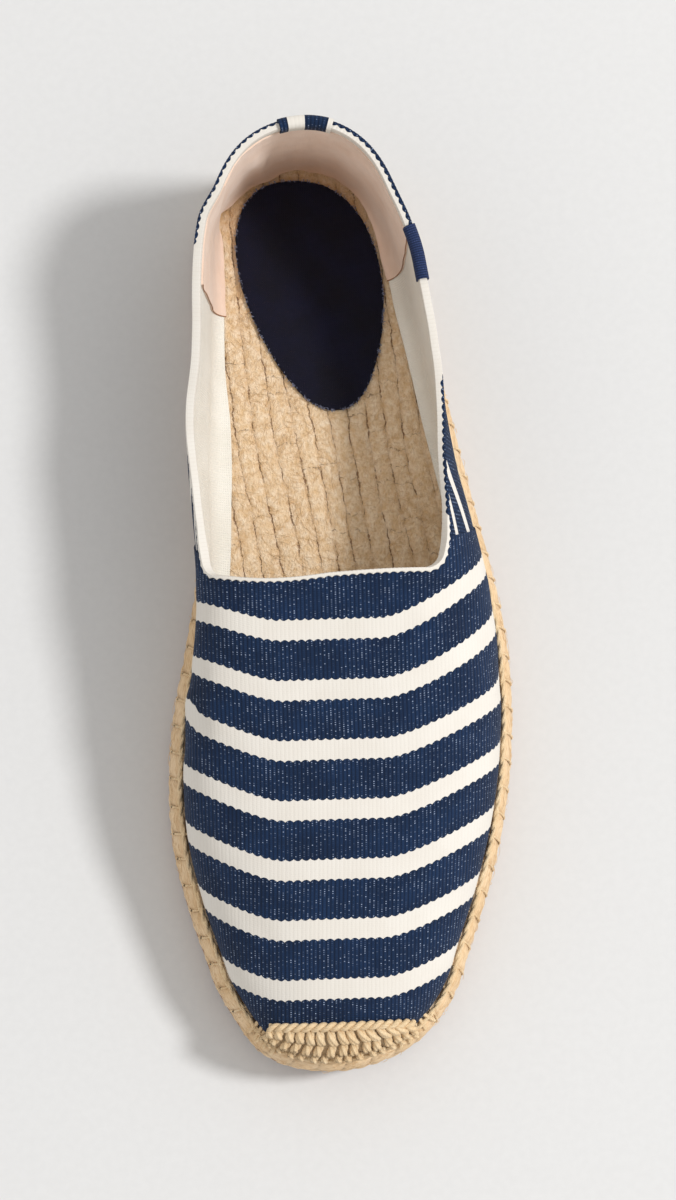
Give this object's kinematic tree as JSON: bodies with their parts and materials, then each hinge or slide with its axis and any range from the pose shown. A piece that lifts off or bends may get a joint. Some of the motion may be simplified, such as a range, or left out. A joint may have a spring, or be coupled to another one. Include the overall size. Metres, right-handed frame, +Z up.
{
  "type": "espadrille",
  "caption": "Slip-on espadrille for the left foot: striped canvas upper with an open collar and a woven toe cap, on a coiled jute sole.",
  "frame": {"origin": "on the floor, under the middle of the shoe's box", "axes": "+Y towards the heel, so the toe points to -Y; +X towards the outer side of the foot; +Z up"},
  "size_m": [0.1046, 0.279, 0.0685],
  "materials": {
    "rubber": "matt moulded rubber",
    "jute": "braided jute, slightly hairy",
    "canvas": "ribbed cotton canvas in navy and cream stripes",
    "pad_cloth": "plain dark woven cloth"
  },
  "bodies": {
    "root": {"outsole": "rubber", "jute_sole": "jute", "upper": "canvas", "toe_cap": "jute", "heel_pad": "pad_cloth"}
  },
  "joints": []
}
